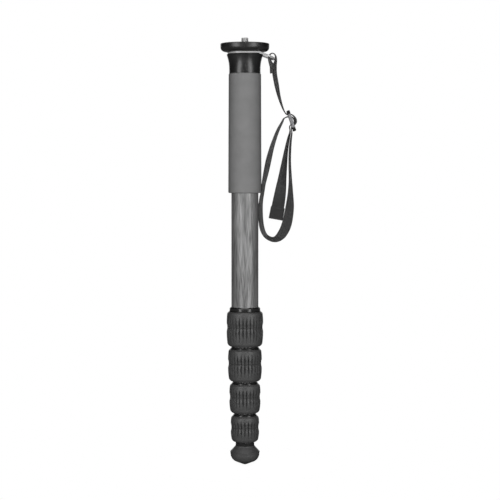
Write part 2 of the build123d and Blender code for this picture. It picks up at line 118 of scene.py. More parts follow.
def add_node(tree, kind, inputs=None, **settings):
    """Add a node, set its properties, and set or link its inputs by name or number."""
    node = tree.nodes.new(kind)
    for key, value in settings.items():
        setattr(node, key, value)
    for key, value in (inputs or {}).items():
        if isinstance(value, bpy.types.NodeSocket):
            tree.links.new(value, node.inputs[key])
        else:
            node.inputs[key].default_value = value
    return node


def object_space(tree, scale=(1, 1, 1)):
    """Object coordinates, which are the row frame's metres, stretched by scale."""
    coordinates = add_node(tree, "ShaderNodeTexCoord")
    inputs = {"Vector": coordinates.outputs["Object"], "Scale": scale}
    return add_node(tree, "ShaderNodeMapping", inputs).outputs["Vector"]


def maths(tree, operation, *values):
    """The result of a Math node on values or sockets."""
    return add_node(tree, "ShaderNodeMath", dict(enumerate(values)), operation=operation).outputs[0]


def map_range(tree, value, start, end, low=0.0, high=1.0, easing="LINEAR"):
    """A value mapped from start to end onto low to high, and held there beyond."""
    inputs = {"Value": value, "From Min": start, "From Max": end, "To Min": low, "To Max": high}
    return add_node(tree, "ShaderNodeMapRange", inputs, interpolation_type=easing).outputs[0]


def multiplied(tree, colour, shade):
    """A colour darkened by a shade."""
    return add_node(
        tree, "ShaderNodeMix", {0: 1.0, 6: colour, 7: shade}, data_type="RGBA", blend_type="MULTIPLY"
    ).outputs[2]


def ramp(tree, factor, *stops):
    """A colour ramp with stops of place and grey or colour."""
    node = add_node(tree, "ShaderNodeValToRGB", {"Fac": factor})
    elements = node.color_ramp.elements
    while len(elements) < len(stops):
        elements.new(0.5)
    for element, (place, colour) in zip(elements, stops):
        element.position = place
        if not hasattr(colour, "__len__"):
            colour = (colour, colour, colour)
        element.color = (*colour, 1)
    return node.outputs["Color"]


def noise(tree, vector, scale, detail=4.0, roughness=0.5):
    """Fractal noise along a vector."""
    return add_node(
        tree,
        "ShaderNodeTexNoise",
        {"Vector": vector, "Scale": scale, "Detail": detail, "Roughness": roughness},
    ).outputs["Fac"]


def bump(tree, shader, height, distance, strength=1.0, normal=None):
    """Bump the shader's normal, over an earlier bump where one is given."""
    inputs = {"Height": height, "Distance": distance, "Strength": strength}
    if normal is not None:
        inputs["Normal"] = normal
    node = add_node(tree, "ShaderNodeBump", inputs)
    tree.links.new(node.outputs["Normal"], shader.inputs["Normal"])
    return node.outputs["Normal"]


def dress(material, *names):
    """Give CAD nodes a material in every slot of their objects."""
    for name in names:
        for slot in nodes[name].material_slots:
            slot.link = "OBJECT"
            slot.material = material


def mesh_object(name, vertices, faces, material, smooth=True):
    """A new mesh piece."""
    mesh = bpy.data.meshes.new(name)
    mesh.from_pydata([tuple(v) for v in vertices], [], faces)
    mesh.materials.append(material)
    for polygon in mesh.polygons:
        polygon.use_smooth = smooth
    mesh.update()
    piece = bpy.data.objects.new(name, mesh)
    bpy.context.collection.objects.link(piece)
    return piece


# Materials

# Turn of the carbon bundles about the tube, in radians a metre
CARBON_LEAN = 3.6
# Distances from the slider's middle between which the painted highlight on its rails turns to black enamel
PAINTED_HIGHLIGHT_EDGE = (9.0 * MM, 11.5 * MM)
# How far the ambient occlusion reaches that paints shade into the rubber's hollows
GROOVE_REACH = 1.8 * MM
# The ribs of the twist locks: their counts from the top lock down, where the waist lies, the
# grooves' margins at both ends, the length over which they deepen, and half their width in pitches.
# Then the waist: how far it reaches, the grooves' depth in it, and its crease's edges and painted shade.
# The grooves between the ribs get painted shade too
RIB_COUNTS = (30, 28, 26, 24)
WAIST_SHARE = 0.555
GROOVE_LOW = 6.0 * MM
GROOVE_HIGH = 4.5 * MM
GROOVE_RISE = 7.0 * MM
GROOVE_HALF = 0.26
WAIST_REACH = 3.0 * MM
WAIST_DEPTH = 0.45
WAIST_CREASE = (0.3 * MM, 1.0 * MM)
WAIST_PAINTED_SHADE = 0.8


def helix_space(tree, lean, stretch):
    """Object coordinates wound about Z, so that long grain leans round the tube."""
    place = add_node(tree, "ShaderNodeTexCoord").outputs["Object"]
    height = add_node(tree, "ShaderNodeSeparateXYZ", {"Vector": place}).outputs["Z"]
    angle = maths(tree, "MULTIPLY", height, lean)
    wound = add_node(
        tree, "ShaderNodeVectorRotate", {"Vector": place, "Angle": angle}, rotation_type="Z_AXIS"
    ).outputs["Vector"]
    return add_node(tree, "ShaderNodeMapping", {"Vector": wound, "Scale": (1, 1, stretch)}).outputs[0]


def carbon_material():
    """Carbon under a rough clear skin: lens-shaped glints where leaning bundles cross."""
    material, tree, shader = new_material("carbon")
    right = noise(tree, helix_space(tree, CARBON_LEAN, 0.07), 480, detail=2.0, roughness=0.45)
    left = noise(tree, helix_space(tree, -CARBON_LEAN, 0.07), 420, detail=2.0, roughness=0.45)
    bundles = maths(tree, "MAXIMUM", right, left)
    broad = noise(tree, helix_space(tree, CARBON_LEAN / 2, 0.16), 70, detail=2)
    mixed = add_node(tree, "ShaderNodeMix", {0: 0.3, 2: bundles, 3: broad}).outputs[0]
    colour = ramp(tree, mixed, (0.4, 0.26), (0.52, 0.44), (0.66, 0.62))
    tree.links.new(colour, shader.inputs["Base Color"])
    shader.inputs["Metallic"].default_value = 0.8
    roughness = ramp(tree, bundles, (0.35, 0.62), (0.65, 0.52))
    tree.links.new(roughness, shader.inputs["Roughness"])
    bump(tree, shader, mixed, 0.5 * MM, 0.4)
    shader.inputs["Coat Weight"].default_value = 0.12
    shader.inputs["Coat Roughness"].default_value = 0.3
    return material


def foam_material():
    """Closed-cell foam: even mid grey with a very fine pitted skin."""
    material, tree, shader = new_material("foam")
    space = object_space(tree)
    cells = noise(tree, space, 2600, detail=3, roughness=0.65)
    cloud = noise(tree, space, 60, detail=2)
    tone = add_node(tree, "ShaderNodeMix", {0: 0.35, 2: cloud, 3: cells}).outputs[0]
    tree.links.new(ramp(tree, tone, (0.3, 0.165), (0.7, 0.2)), shader.inputs["Base Color"])
    shader.inputs["Roughness"].default_value = 0.68
    shader.inputs["Specular IOR Level"].default_value = 0.5
    bump(tree, shader, cells, 0.12 * MM, 0.6)
    return material


def groove_pattern(tree, sleeve, ribs):
    """1 in the grooves between a twist lock's ribs and 0 on the ribs, and the painted shade of its waist
    crease; it drives the ribs' bump and their painted groove shade.
    """
    low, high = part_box(sleeve)
    bottom, top = low[2], high[2]
    waist = bottom + WAIST_SHARE * (top - bottom)
    place = add_node(tree, "ShaderNodeTexCoord").outputs["Object"]
    axes = add_node(tree, "ShaderNodeSeparateXYZ", {"Vector": place}).outputs
    turns = maths(tree, "MULTIPLY", maths(tree, "ARCTAN2", axes["Y"], axes["X"]), ribs / math.tau)
    away = maths(tree, "PINGPONG", turns, 0.5)
    lower = bottom + GROOVE_LOW
    upper = top - GROOVE_HIGH
    above = map_range(tree, axes["Z"], lower, lower + GROOVE_RISE)
    below = map_range(tree, axes["Z"], upper, upper - GROOVE_RISE)
    apart = maths(tree, "ABSOLUTE", maths(tree, "SUBTRACT", axes["Z"], waist))
    at_waist = map_range(tree, apart, 0.0, WAIST_REACH, WAIST_DEPTH, 1.0)
    depth = maths(tree, "MINIMUM", maths(tree, "MINIMUM", above, below), at_waist)
    reach = maths(tree, "MULTIPLY_ADD", depth, GROOVE_HALF, 0.001)
    share = maths(tree, "DIVIDE", away, reach)
    groove = map_range(tree, share, 0.25, 1.0, 1.0, 0.0, "SMOOTHSTEP")
    # Painted shade along the waist crease
    crease = map_range(tree, apart, *WAIST_CREASE, WAIST_PAINTED_SHADE, 0.0, "SMOOTHSTEP")
    return maths(tree, "MAXIMUM", groove, crease)


def rubber_material(name, dark, light, grain=1800, rings=False, sleeve=None, ribs=0):
    """Matte moulded rubber with a fine grain, painted shade in its hollows, turned rings on the foot and
    ribs on the locks.
    """
    material, tree, shader = new_material(name)
    space = object_space(tree)
    fine = noise(tree, space, grain, detail=3)
    dust = noise(tree, space, 140, detail=4, roughness=0.7)
    tone = add_node(tree, "ShaderNodeMix", {0: 0.5, 2: dust, 3: fine}).outputs[0]
    colour = ramp(tree, tone, (0.3, dark), (0.7, light))
    # Painted shade: ambient occlusion darkens the colour in the rubber's hollows and grooves
    open_share = add_node(
        tree, "ShaderNodeAmbientOcclusion", {"Distance": GROOVE_REACH}, samples=8, only_local=True
    ).outputs["AO"]
    shade = ramp(tree, open_share, (0.35, 0.25), (0.9, 1.0))
    painted_shade_colour = multiplied(tree, colour, shade)
    normal = None
    if sleeve:
        groove = groove_pattern(tree, sleeve, ribs)
        # Painted shade in the grooves between the ribs and in the waist crease
        painted_groove_shade = ramp(tree, groove, (0.0, 1.0), (1.0, 0.68))
        painted_shade_colour = multiplied(tree, painted_shade_colour, painted_groove_shade)
        rib = maths(tree, "SUBTRACT", 1.0, groove)
        normal = bump(tree, shader, rib, 0.7 * MM, 0.8)
    tree.links.new(painted_shade_colour, shader.inputs["Base Color"])
    shader.inputs["Roughness"].default_value = 0.45
    shader.inputs["Specular IOR Level"].default_value = 1.0
    normal = bump(tree, shader, fine, 0.08 * MM, 0.7, normal)
    if rings:
        wave = add_node(
            tree,
            "ShaderNodeTexWave",
            {"Vector": object_space(tree), "Scale": 210, "Distortion": 0.4, "Detail": 1},
            bands_direction="Z",
        )
        bump(tree, shader, wave.outputs["Fac"], 0.25 * MM, 0.5, normal)
    return material


def black_metal_material(name, roughness, shade):
    """Black anodised aluminium, turned, with faint tool rings and a little wear."""
    material, tree, shader = new_material(name)
    space = object_space(tree)
    wear = noise(tree, space, 90, detail=5, roughness=0.7)
    tone = ramp(tree, wear, (0.3, 0.85 * shade), (0.75, 1.15 * shade))
    matte = ramp(tree, wear, (0.3, 0.92 * roughness), (0.75, 1.08 * roughness))
    tree.links.new(tone, shader.inputs["Base Color"])
    tree.links.new(matte, shader.inputs["Roughness"])
    shader.inputs["Metallic"].default_value = 0.9
    lathe = noise(tree, object_space(tree, (0.02, 0.02, 1)), 9000, detail=2)
    bump(tree, shader, lathe, 0.02 * MM, 0.35)
    return material


def slider_material():
    """Black enamel with a painted highlight in grey along the slider's two rails, and dark end bars."""
    material, tree, shader = new_material("slider_enamel")
    along = add_node(
        tree,
        "ShaderNodeVectorMath",
        {0: object_space(tree), 1: (math.sin(SLIDER_TILT), 0, -math.cos(SLIDER_TILT))},
        operation="DOT_PRODUCT",
    ).outputs["Value"]
    middle = (SLIDER_X * math.sin(SLIDER_TILT) - SLIDER_Z * math.cos(SLIDER_TILT)) * MM
    reach = maths(tree, "ABSOLUTE", maths(tree, "SUBTRACT", along, middle))
    ragged_noise = noise(tree, object_space(tree), 900, detail=4, roughness=0.7)
    rough_edge = maths(tree, "MULTIPLY_ADD", ragged_noise, 2.0 * MM, reach)
    share = map_range(tree, rough_edge, *PAINTED_HIGHLIGHT_EDGE, easing="SMOOTHSTEP")
    # Painted highlight: grey along the rails near the middle, turning to black enamel towards the ends
    painted_highlight = ramp(tree, share, (0.0, (0.27, 0.27, 0.28)), (0.5, 0.1), (1.0, 0.014))
    tree.links.new(painted_highlight, shader.inputs["Base Color"])
    tree.links.new(ramp(tree, ragged_noise, (0.3, 0.36), (0.7, 0.5)), shader.inputs["Roughness"])
    shader.inputs["Metallic"].default_value = 0.3
    bump(tree, shader, ragged_noise, 0.05 * MM, 0.4)
    return material


def bright_metal_material(name, colour, roughness, metallic=1.0):
    """Bare steel with drawn or turned scratches."""
    material, tree, shader = new_material(name)
    scratch = noise(tree, object_space(tree, (1, 1, 0.1)), 2500, detail=3)
    tone = ramp(tree, scratch, (0.3, colour * 0.85), (0.7, colour))
    tree.links.new(tone, shader.inputs["Base Color"])
    shader.inputs["Metallic"].default_value = metallic
    shader.inputs["Roughness"].default_value = roughness
    bump(tree, shader, scratch, 0.02 * MM, 0.4)
    return material


def plastic_material(name, colour):
    """Plain moulded plastic of the inner pieces."""
    material, tree, shader = new_material(name)
    grain = noise(tree, object_space(tree), 900, detail=3)
    low = tuple(0.9 * c for c in colour)
    tree.links.new(ramp(tree, grain, (0.3, low), (0.7, colour)), shader.inputs["Base Color"])
    shader.inputs["Roughness"].default_value = 0.5
    bump(tree, shader, grain, 0.03 * MM, 0.4)
    return material


def webbing_material():
    """Nylon webbing: a fine plain weave read from the strap's own length and width."""
    material, tree, shader = new_material("webbing")
    coordinates = add_node(tree, "ShaderNodeUVMap", uv_map="weave").outputs["UV"]
    threads = []
    for direction, distortion in (("X", 0.6), ("Y", 0.4)):
        inputs = {"Vector": coordinates, "Scale": 1.0, "Distortion": distortion, "Detail": 1}
        wave = add_node(tree, "ShaderNodeTexWave", inputs, bands_direction=direction)
        threads.append(wave.outputs["Fac"])
    weave = maths(tree, "MULTIPLY", *threads)
    fuzz = noise(tree, object_space(tree), 1500, detail=3)
    tone = add_node(tree, "ShaderNodeMix", {0: 0.35, 2: weave, 3: fuzz}).outputs[0]
    tree.links.new(ramp(tree, tone, (0.1, 0.02), (0.75, 0.048)), shader.inputs["Base Color"])
    shader.inputs["Roughness"].default_value = 0.8
    shader.inputs["Sheen Weight"].default_value = 0.25
    shader.inputs["Sheen Roughness"].default_value = 0.5
    bump(tree, shader, weave, 0.25 * MM, 0.8)
    return material


def thread_material():
    """Sewing thread, a little darker than the webbing."""
    material, tree, shader = new_material("thread")
    fuzz = noise(tree, object_space(tree), 4000, detail=2)
    tree.links.new(ramp(tree, fuzz, (0.3, 0.012), (0.7, 0.03)), shader.inputs["Base Color"])
    shader.inputs["Roughness"].default_value = 0.7
    return material


carbon = carbon_material()
foam = foam_material()
grip_rubbers = [
    rubber_material(f"grip_rubber_{k}", 0.046, 0.075, sleeve=f"nut_grip_{k}", ribs=count)
    for k, count in enumerate(RIB_COUNTS, 1)
]
foot_rubber = rubber_material("foot_rubber", 0.05, 0.072, rings=True)
pad_rubber = rubber_material("pad_rubber", 0.02, 0.032, grain=900)
gloss_black = black_metal_material("gloss_black", 0.18, 0.12)
satin_black = black_metal_material("satin_black", 0.36, 0.125)
collar_black = black_metal_material("collar_black", 0.3, 0.12)
slider_enamel = slider_material()
wire_steel = bright_metal_material("wire_steel", 0.85, 0.3, metallic=0.55)
stud_steel = bright_metal_material("stud_steel", 0.75, 0.28, metallic=0.6)
screw_steel = bright_metal_material("screw_steel", 0.12, 0.35)
collet_nylon = plastic_material("collet_nylon", (0.75, 0.74, 0.7))
shim_nylon = plastic_material("shim_nylon", (0.55, 0.55, 0.53))
webbing = webbing_material()
thread = thread_material()

LOCKS = range(1, 5)
dress(carbon, *[f"tube_{k}" for k in range(1, 6)])
dress(gloss_black, *[f"ferrule_{k}" for k in LOCKS], *[f"lock_nut_{k}" for k in LOCKS])
dress(gloss_black, "foot_ferrule")
dress(satin_black, "camera_plate")
dress(collar_black, "top_collar")
for k, rubber in enumerate(grip_rubbers, 1):
    dress(rubber, f"nut_grip_{k}")
dress(pad_rubber, "friction_pad", *[f"dust_seal_{k}" for k in LOCKS])
dress(foot_rubber, "rubber_foot")
dress(screw_steel, "plate_screws", "foot_stud")
dress(wire_steel, "strap_ring")
dress(slider_enamel, "strap_slider")
dress(collet_nylon, *[f"collet_{k}" for k in LOCKS])
dress(shim_nylon, *[f"guide_shims_{k + 1}" for k in LOCKS])


# Foam hand grip

GLUE_GAP = 0.05 * MM
GRIP_TAPER = 0.6 * MM
GRIP_EDGE = 1.6 * MM


def turned(name, outline, segments, material):
    """Turn a closed outline of radius and height about Z into a ring-shaped piece."""
    vertices = []
    for step in range(segments):
        angle = math.tau * step / segments
        for radius, height in outline:
            vertices.append((radius * math.cos(angle), radius * math.sin(angle), height))
    count = len(outline)
    faces = []
    for step in range(segments):
        other = (step + 1) % segments
        for i in range(count):
            j = (i + 1) % count
            faces.append(
                (step * count + i, other * count + i, other * count + j, step * count + j)
            )
    return mesh_object(name, vertices, faces, material)


def corner(centre, radius, start, end, steps=5):
    """Points of a rounded corner, with angles in degrees from +X towards +Z."""
    points = []
    for step in range(steps + 1):
        angle = math.radians(start + (end - start) * step / steps)
        points.append((centre[0] + radius * math.cos(angle), centre[1] + radius * math.sin(angle)))
    return points


def foam_grip():
    """A sleeve with softly rounded ends that narrows slightly towards its top."""
    low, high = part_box("foam_grip")
    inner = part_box("tube_1")[1][0] + GLUE_GAP
    outer = high[0]
    top_outer = outer - GRIP_TAPER
    edge = GRIP_EDGE
    sides = 24
    rise = high[2] - low[2] - 2 * edge
    outline = [(inner, low[2])]
    outline += corner((outer - edge, low[2] + edge), edge, -90, 0)
    for step in range(1, sides):
        share = step / sides
        outline.append((outer + (top_outer - outer) * share, low[2] + edge + rise * share))
    outline += corner((top_outer - edge, high[2] - edge), edge, 0, 90)
    outline.append((inner, high[2]))
    grip = turned("foam_sleeve", outline, 128, foam)
    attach(grip, "upper_section")
    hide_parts("foam_grip")


foam_grip()


# Camera screw with its thread

STUD_RADIUS = 4.7625 * MM
STUD_PITCH = 1.5875 * MM
STUD_DEPTH = 0.85 * MM
STUD_CHAMFER = 0.8 * MM
STUD_FLANGE = 2 * MM
SLOT_HALF = 0.7 * MM
SLOT_DEPTH = 1.8 * MM
ROWS_PER_PITCH = 10


def thread_radius(height, angle, low, high):
    """The thread's radius at a height and angle, between the stud's ends."""
    phase = ((height - low) / STUD_PITCH - angle / math.tau) % 1.0
    tooth = min(1.0, 1.5 * (1 - abs(2 * phase - 1)))
    radius = STUD_RADIUS - STUD_DEPTH * (1 - tooth)
    return min(radius, STUD_RADIUS - STUD_CHAMFER + (high - height))


def stud_mesh(around=72):
    """The screw without its slot, and its hidden flange."""
    low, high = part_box("camera_stud")
    flange_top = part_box("top_collar")[1][2]
    heights = []
    height = low[2]
    while height < high[2]:
        heights.append(height)
        height += STUD_PITCH / ROWS_PER_PITCH
    heights.append(high[2])
    vertices, faces = [], []
    for height in heights:
        in_flange = flange_top - STUD_FLANGE <= height <= flange_top
        for step in range(around):
            angle = math.tau * step / around
            radius = high[0] if in_flange else thread_radius(height, angle, low[2], high[2])
            vertices.append((radius * math.cos(angle), radius * math.sin(angle), height))
    for row in range(len(heights) - 1):
        here, above = row * around, (row + 1) * around
        for step in range(around):
            other = (step + 1) % around
            faces.append((here + step, here + other, above + other, above + step))
    faces.append(tuple(reversed(range(around))))
    top = (len(heights) - 1) * around
    faces.append(tuple(top + step for step in range(around)))
    return mesh_object("threaded_screw", vertices, faces, stud_steel)


def cut_slot(stud, top):
    """Cut the screwdriver slot across the top of the stud."""
    cutter_mesh = bpy.data.meshes.new("slot_cutter")
    reach = 2 * STUD_RADIUS
    corners = [
        (x, y, z)
        for x in (-reach, reach)
        for y in (-SLOT_HALF, SLOT_HALF)
        for z in (top - SLOT_DEPTH, top + SLOT_DEPTH)
    ]
    sides = [(0, 1, 3, 2), (4, 6, 7, 5), (0, 4, 5, 1), (2, 3, 7, 6), (0, 2, 6, 4), (1, 5, 7, 3)]
    cutter_mesh.from_pydata(corners, [], sides)
    cutter = bpy.data.objects.new("slot_cutter", cutter_mesh)
    bpy.context.collection.objects.link(cutter)
    cut = stud.modifiers.new("slot", "BOOLEAN")
    cut.operation = "DIFFERENCE"
    cut.object = cutter
    cut.solver = "EXACT"
    bpy.context.view_layer.update()
    evaluated = stud.evaluated_get(bpy.context.evaluated_depsgraph_get())
    finished = bpy.data.meshes.new_from_object(evaluated)
    stud.modifiers.clear()
    stud.data = finished
    bpy.data.objects.remove(cutter)


def threaded_stud():
    """The 3/8 inch camera screw with a real thread, a slotted top and its hidden flange."""
    stud = stud_mesh()
    cut_slot(stud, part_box("camera_stud")[1][2])
    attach(stud, "upper_section")
    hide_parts("camera_stud")


threaded_stud()


# Wrist strap

def at_slider(along, above):
    """A point of the route in millimetres, given along the slider and above its middle plane."""
    return (
        SLIDER_X + along * math.sin(SLIDER_TILT) + above * math.cos(SLIDER_TILT),
        SLIDER_Z - along * math.cos(SLIDER_TILT) + above * math.sin(SLIDER_TILT),
    )


# Each point of the route in the XZ plane, in millimetres, with the strap's twist there in degrees:
# 0 is edge-on to the camera
STRAP_ROUTE = [
    ((37.2, 522.9), 24),
    ((36.9, 526.9), 24),
    ((36.6, 531.1), 21),
    ((33.9, 536.3), 12),
    ((31.8, 542.9), 6),
    ((33.0, 547.6), 4),
    ((36.3, 549.4), 4),
    ((39.9, 548.0), 4),
    ((41.6, 542.6), 6),
    ((40.5, 536.4), 12),
    ((38.9, 530.6), 21),
    ((39.3, 522.0), 20),
    ((42.2, 506.5), 20),
    ((45.1, 492.2), 13),
    ((49.6, 478.0), 6),
    (at_slider(-13.6, -4.6), 3),
    (at_slider(-9.6, -3.0), 0),
    (at_slider(-8.6, 3.0), 2),
    (at_slider(-3.4, 6.0), 7),
    (at_slider(2.2, 6.5), 7),
    (at_slider(5.9, 3.6), 4),
    (at_slider(6.2, -0.6), 0),
    (at_slider(9.2, -3.4), 0),
    (at_slider(14.6, -3.8), 3),
    ((61.3, 436.5), 6),
    ((59.9, 421.5), 9),
    ((59.5, 404.0), 9),
    ((60.7, 380.0), 13),
    ((60.7, 362.0), 25),
    ((59.9, 345.0), 42),
    ((57.5, 329.5), 50),
    ((54.9, 319.0), 52),
    ((50.0, 309.2), 48),
    ((44.2, 303.4), 36),
    ((38.3, 301.5), 24),
    ((32.4, 303.1), 19),
    ((26.4, 307.6), 18),
    ((22.6, 316.6), 20),
    ((20.9, 330.0), 19),
    ((20.6, 344.5), 18),
    ((21.6, 355.5), 15),
    ((23.7, 365.5), 13),
    ((24.8, 376.0), 15),
    ((28.1, 391.0), 22),
    ((31.3, 406.7), 24),
    ((35.2, 422.5), 18),
    ((40.3, 438.2), 13),
    ((44.9, 449.6), 10),
    ((49.6, 458.0), 6),
    (at_slider(-5.9, -9.0), 3),
    (at_slider(-6.9, -5.6), 0),
    (at_slider(-6.6, -1.8), 0),
    (at_slider(-4.6, 2.6), 0),
    (at_slider(-1.4, 4.2), 6),
    (at_slider(2.2, 4.3), 6),
    (at_slider(4.2, 1.6), 0),
    (at_slider(4.3, -2.4), 0),
    (at_slider(7.2, -5.2), 0),
    (at_slider(13.0, -5.6), 4),
    ((58.2, 437.8), 9),
    ((54.9, 421.0), 16),
    ((52.9, 406.7), 24),
    ((49.6, 382.5), 41),
    ((47.0, 362.5), 67),
    ((43.6, 343.5), 86),
    ((40.9, 328.7), 90),
]
STRAP_WIDTH = 17 * MM
STRAP_THICKNESS = 1.4 * MM
HEM_LENGTH = 17.5 * MM
HEM_WIDTH = 18.9 * MM
WEAVE_LENGTH = 1.1 * MM
WEAVE_WIDTH = 0.7 * MM
THREAD_RADIUS = 0.22 * MM
STITCH_PITCH = 2.2 * MM
STITCH_GAP = 0.5 * MM
STITCH_INSET = 1.6 * MM


def strap_line():
    """The smooth centreline of the strap, read from a NURBS curve through its route."""
    curve = bpy.data.curves.new("strap_route", "CURVE")
    curve.dimensions = "3D"
    curve.resolution_u = 8
    spline = curve.splines.new("NURBS")
    spline.points.add(len(STRAP_ROUTE) - 1)
    for point, ((x, z), _) in zip(spline.points, STRAP_ROUTE):
        point.co = (x * MM, 0, z * MM, 1)
    spline.order_u = 3
    spline.use_endpoint_u = True
    holder = bpy.data.objects.new("strap_route", curve)
    bpy.context.collection.objects.link(holder)
    bpy.context.view_layer.update()
    evaluated = holder.evaluated_get(bpy.context.evaluated_depsgraph_get())
    mesh = bpy.data.meshes.new_from_object(evaluated)
    points = [vertex.co.copy() for vertex in mesh.vertices]
    bpy.data.objects.remove(holder)
    return points


def distances(points):
    """Distance along a line of points, at each of them."""
    run = [0.0]
    for a, b in zip(points, points[1:]):
        run.append(run[-1] + (b - a).length)
    return run


def twist_along(points, run):
    """The strap's twist at each point of its line, eased between the route's points."""
    keys = []
    start = 0
    for (x, z), degrees in STRAP_ROUTE:
        place = Vector((x * MM, 0, z * MM))
        window = range(start, min(start + 40, len(points)))
        nearest = min(window, key=lambda i: (points[i] - place).length)
        keys.append((run[nearest], degrees))
        start = nearest
    twists = []
    for here in run:
        before = max((key for key in keys if key[0] <= here), key=lambda key: key[0], default=keys[0])
        after = min((key for key in keys if key[0] > here), key=lambda key: key[0], default=keys[-1])
        span = after[0] - before[0]
        share = 0 if span <= 0 else (here - before[0]) / span
        twists.append(math.radians(before[1] + (after[1] - before[1]) * share))
    for _ in range(6):
        twists = [twists[0]] + [
            (a + 2 * b + c) / 4 for a, b, c in zip(twists, twists[1:], twists[2:])
        ] + [twists[-1]]
    return twists


def strap_frames():
    """For each point of the strap: place, direction across its width, direction of its face, run."""
    points = strap_line()
    run = distances(points)
    twists = twist_along(points, run)
    frames = []
    for i, point in enumerate(points):
        along = (points[min(i + 1, len(points) - 1)] - points[max(i - 1, 0)]).normalized()
        width = Vector((0, -1, 0))
        face = width.cross(along).normalized()
        turn = Matrix.Rotation(twists[i], 3, along)
        frames.append((point, turn @ width, turn @ face, run[i]))
    return points, frames


def strap_profile(width, thickness):
    """The strap's section: flat faces with rounded selvedges, as offsets across and through."""
    edge = thickness / 2
    inset = width / 2 - edge
    steps = 4
    section = [(-inset + 2 * inset * i / 8, edge) for i in range(9)]
    section += [
        (inset + edge * math.sin(math.pi * i / steps), edge * math.cos(math.pi * i / steps))
        for i in range(1, steps)
    ]
    section += [(inset - 2 * inset * i / 8, -edge) for i in range(9)]
    section += [
        (-inset - edge * math.sin(math.pi * i / steps), -edge * math.cos(math.pi * i / steps))
        for i in range(1, steps)
    ]
    return section


def add_ribbon(vertices, faces, weave, frames, width, thickness, lift=0.0):
    """Add a closed ribbon that follows the frames, lifted off their middle line along the face."""
    section = strap_profile(width, thickness)
    count = len(section)
    base = len(vertices)
    for place, side, face, run in frames:
        for across, through in section:
            vertices.append(place + side * across + face * (through + lift))
            weave.append((run / WEAVE_LENGTH, across / WEAVE_WIDTH))
    for row in range(len(frames) - 1):
        for i in range(count):
            j = (i + 1) % count
            low, high = base + row * count, base + (row + 1) * count
            faces.append((low + i, low + j, high + j, high + i))
    faces.append(tuple(base + i for i in reversed(range(count))))
    last = base + (len(frames) - 1) * count
    faces.append(tuple(last + i for i in range(count)))


def near_side(frame):
    """1 where the strap's face points to the camera, and -1 where its back does."""
    return 1 if frame[2].y < 0 else -1


def wrist_strap():
    """The webbing, with the tail's end folded back on its near side, and its stitches."""
    points, frames = strap_frames()
    total = frames[-1][3]
    vertices, faces, weave = [], [], []
    add_ribbon(vertices, faces, weave, frames, STRAP_WIDTH, STRAP_THICKNESS)
    tail = [frame for frame in frames if frame[3] >= total - HEM_LENGTH]
    lift = near_side(tail[-1]) * STRAP_THICKNESS * 0.93
    add_ribbon(vertices, faces, weave, tail, HEM_WIDTH, STRAP_THICKNESS, lift)
    strap = mesh_object("webbing_strap", vertices, faces, webbing)
    layer = strap.data.uv_layers.new(name="weave")
    for loop in strap.data.loops:
        layer.data[loop.index].uv = weave[loop.vertex_index]
    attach(strap, "strap")
    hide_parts("wrist_strap")
    stitches = strap_stitches(frames, total)


def frame_at(frames, run):
    """The strap's frame nearest to a distance along it."""
    return min(frames, key=lambda item: abs(item[3] - run))


def add_stitch(vertices, faces, start, end, normal):
    """Add one raised stitch, a short rounded length of thread that dips at its ends."""
    along = (end - start).normalized()
    side = along.cross(normal).normalized()
    base = len(vertices)
    for share, swell, rise in ((0, 0.35, -0.4), (0.25, 1, 0.3), (0.75, 1, 0.3), (1, 0.35, -0.4)):
        middle = start.lerp(end, share) + normal * rise * THREAD_RADIUS
        for step in range(8):
            angle = math.tau * step / 8
            vertices.append(
                middle + (side * math.cos(angle) + normal * math.sin(angle)) * THREAD_RADIUS * swell
            )
    for ring in range(3):
        for step in range(8):
            other = (step + 1) % 8
            low, high = base + ring * 8, base + ring * 8 + 8
            faces.append((low + step, low + other, high + other, high + step))
    faces.append(tuple(base + step for step in reversed(range(8))))
    faces.append(tuple(base + 24 + step for step in range(8)))


def stitch_row(vertices, faces, frame, front, back):
    """Stitches right across the strap, on its face and its back at the heights given."""
    place, width, face, _ = frame
    half = STRAP_WIDTH / 2 - STITCH_INSET
    count = round(2 * half / STITCH_PITCH)
    for height, normal in ((front, face), (back, -face)):
        surface = place + normal * height
        for step in range(count):
            start = -half + 2 * half * step / count
            end = start + 2 * half / count - STITCH_GAP
            add_stitch(vertices, faces, surface + width * start, surface + width * end, normal)


def strap_stitches(frames, total):
    """Rows of thread through the hem, and the rows that sew the end on below the ring."""
    vertices, faces = [], []
    thin = STRAP_THICKNESS / 2
    thick = STRAP_THICKNESS * 1.43
    for offset in (HEM_LENGTH - 2.2 * MM, HEM_LENGTH - 4.6 * MM):
        frame = frame_at(frames, total - offset)
        front, back = (thick, thin) if near_side(frames[-1]) > 0 else (thin, thick)
        stitch_row(vertices, faces, frame, front, back)
    for offset in (1.6 * MM, 4.0 * MM, 7.0 * MM):
        stitch_row(vertices, faces, frame_at(frames, offset), thin, thin)
    stitches = mesh_object("strap_stitches", vertices, faces, thread)
    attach(stitches, "strap")
    return stitches


wrist_strap()


# Stage, light and camera

def camera():
    """The photograph's view."""
    data = bpy.data.cameras.new("camera")
    data.lens = CAMERA_LENS
    data.sensor_width = 36
    eye = bpy.data.objects.new("camera", data)
    eye.location = (CAMERA_SIDE, -CAMERA_DISTANCE, CAMERA_HEIGHT)
    eye.rotation_euler = (math.radians(90) - CAMERA_TILT, 0, 0)
    bpy.context.collection.objects.link(eye)
    bpy.context.scene.camera = eye


def lamp_at(name, power, size, place, target, upright=(0, 0, 1)):
    """A rectangular lamp that faces a target, with its long side nearest to upright."""
    data = bpy.data.lights.new(name, "AREA")
    data.shape = "RECTANGLE"
    data.size, data.size_y = size
    data.energy = power
    lamp = bpy.data.objects.new(name, data)
    back = (Vector(place) - Vector(target)).normalized()
    side = Vector(upright).cross(back).normalized()
    up = back.cross(side)
    turn = Matrix((side, up, back)).transposed().to_4x4()
    lamp.matrix_world = Matrix.Translation(place) @ turn
    lamp.visible_camera = False
    bpy.context.collection.objects.link(lamp)
    return lamp


